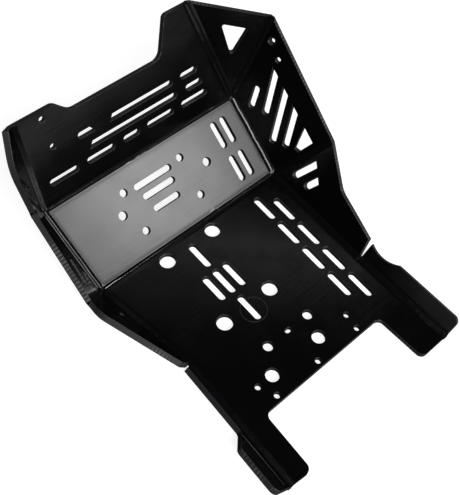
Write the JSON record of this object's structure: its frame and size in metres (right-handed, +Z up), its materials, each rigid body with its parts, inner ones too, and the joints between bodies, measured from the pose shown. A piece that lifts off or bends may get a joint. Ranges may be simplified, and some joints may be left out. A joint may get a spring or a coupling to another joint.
{
  "type": "motorcycle skid plate",
  "caption": "Engine guard folded from one thick plastic sheet: flat belly, rising ramp, front wall, side wings and rear flanges, with bolt holes, drain holes and cooling slots.",
  "frame": {"origin": "on the flat underside of the belly, 130 mm behind the fold between belly and ramp and on the plate's middle line", "axes": "+X to the right of the motorcycle, +Y to its front, +Z up; the underside of the belly lies on z = 0"},
  "size_m": [0.4032, 0.5067, 0.2338],
  "materials": {
    "sheet": "satin, as rolled, with milled edges"
  },
  "bodies": {
    "root": {"skid_plate": "sheet"}
  },
  "joints": []
}
